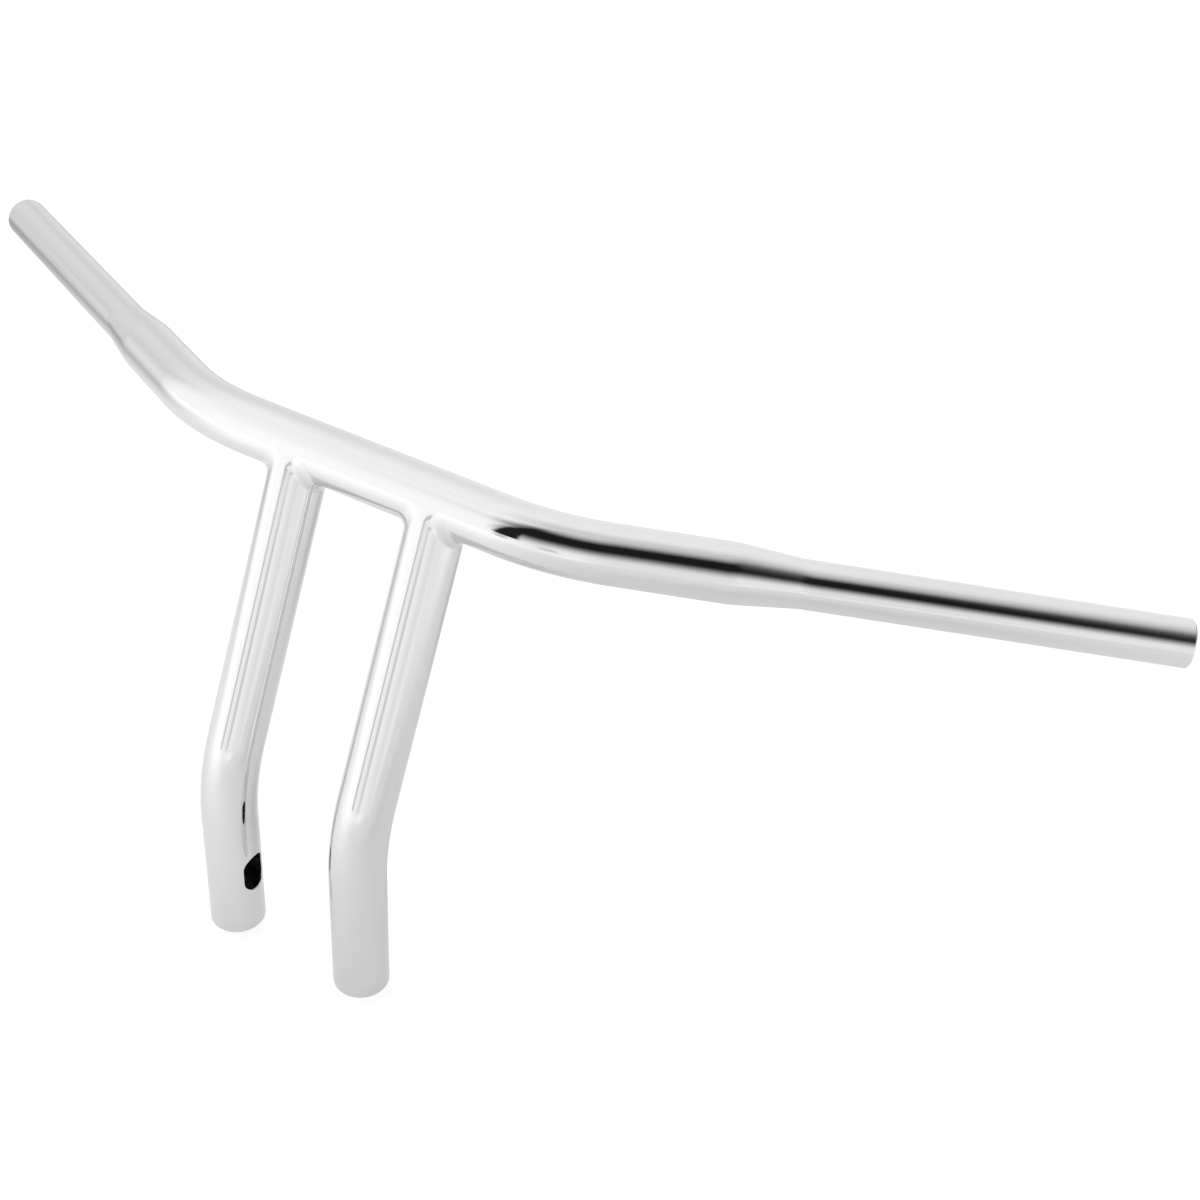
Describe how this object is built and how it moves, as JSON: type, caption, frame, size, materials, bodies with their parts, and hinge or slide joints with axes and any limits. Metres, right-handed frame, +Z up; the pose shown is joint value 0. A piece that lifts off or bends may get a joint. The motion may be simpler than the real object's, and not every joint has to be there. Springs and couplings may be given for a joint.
{
  "type": "handlebar",
  "caption": "Chromed T-bar motorcycle handlebar: swept crossbar on two pull-back risers, narrower grip ends, threaded riser feet and wire ports.",
  "frame": {"origin": "midway between the two riser bolt holes, on the plane of the riser feet", "axes": "+X to the rider's right along the crossbar, +Y forward, +Z up along the lower riser legs; the grips sweep back to -Y"},
  "size_m": [0.8004, 0.2612, 0.2979],
  "materials": {
    "chrome_tube": "polished decorative chrome on mandrel-bent steel tube",
    "chrome_reducer": "polished decorative chrome on turned steel",
    "chrome_grip": "polished decorative chrome with fine sleeve-fitting scuffs",
    "chrome_weld": "polished decorative chrome over welds dressed smooth",
    "chrome_bung": "chrome outside, dull plated thread"
  },
  "bodies": {
    "root": {"crossbar_tube": "chrome_tube", "right_riser_tube": "chrome_tube", "right_riser_bung": "chrome_bung", "right_foot_weld": "chrome_weld", "right_saddle_weld": "chrome_weld", "right_reducer": "chrome_reducer", "right_reducer_weld": "chrome_weld", "right_grip_tube": "chrome_grip", "right_grip_weld": "chrome_weld", "left_riser_tube": "chrome_tube", "left_riser_bung": "chrome_bung", "left_foot_weld": "chrome_weld", "left_saddle_weld": "chrome_weld", "left_reducer": "chrome_reducer", "left_reducer_weld": "chrome_weld", "left_grip_tube": "chrome_grip", "left_grip_weld": "chrome_weld"}
  },
  "joints": []
}
